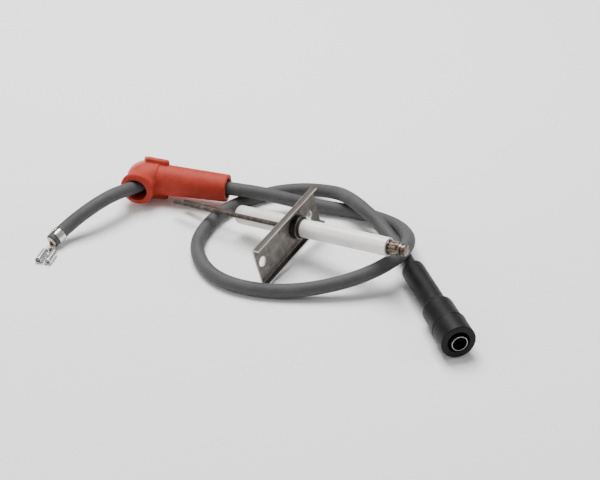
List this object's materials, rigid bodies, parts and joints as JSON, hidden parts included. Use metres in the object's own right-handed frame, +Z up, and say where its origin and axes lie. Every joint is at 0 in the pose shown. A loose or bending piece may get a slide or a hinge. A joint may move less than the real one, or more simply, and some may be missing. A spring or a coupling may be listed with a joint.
{
  "type": "ignition electrode",
  "caption": "Spark ignition electrode for a gas burner, ceramic body on a steel channel bracket, with its high-voltage lead coiled in an open loop beneath it.",
  "frame": {"origin": "on the floor that the part lies on, under the centre of the electrode's own box (lead not counted)", "axes": "+Z up from the floor, +X along the electrode's longest extent towards its terminal end and the socket boot, +Y towards the elbow boot"},
  "size_m": [0.2098, 0.151, 0.0305],
  "materials": {
    "bracket_steel": "pressed steel, heat-tinted and dull, with bright sheared edges",
    "ferrule_steel": "turned steel, dark, with a bright rim",
    "weld": "small weld spots with heat tint",
    "packing": "dark compressed graphite packing",
    "ceramic": "unglazed off-white fired ceramic, fine matt surface",
    "rod_steel": "dark brown oxidised heat-resisting wire",
    "cement": "matt cream cement fillet",
    "terminal_nickel": "nickel plate with copper-coloured tarnish in the flutes",
    "silicone_cable": "matt mid-grey silicone sheath",
    "insulation": "cream inner silicone",
    "copper": "tinned copper strands",
    "red_silicone": "brick-red silicone, paler dusty bloom on the bend",
    "black_rubber": "satin black rubber",
    "socket_metal": "bright plated tube",
    "brass_pin": "plain brass",
    "spring_wire": "drawn spring wire",
    "tin_plate": "bright tin-plated brass strip"
  },
  "bodies": {
    "lead": {"cable_jacket": "silicone_cable", "inner_insulation": "insulation", "conductor": "copper", "elbow_boot": "red_silicone", "socket_boot": "black_rubber", "socket_tube": "socket_metal", "socket_pin": "brass_pin", "socket_clip": "spring_wire", "flat_connector": "tin_plate"},
    "electrode": {"mounting_bracket": "bracket_steel", "ferrule": "ferrule_steel", "weld_nuggets": "weld", "packing_ring": "packing", "ceramic_insulator": "ceramic", "spark_rod": "rod_steel", "ground_rod": "rod_steel", "tip_cement": "cement", "terminal_cement": "cement", "terminal_washer": "terminal_nickel", "terminal_nut": "terminal_nickel", "snap_stud": "terminal_nickel"}
  },
  "joints": [
    {"name": "electrode_lift", "type": "slide", "parent": "lead", "child": "electrode", "axis": [0, 0, 1], "range_m": [0, 0.08]}
  ]
}
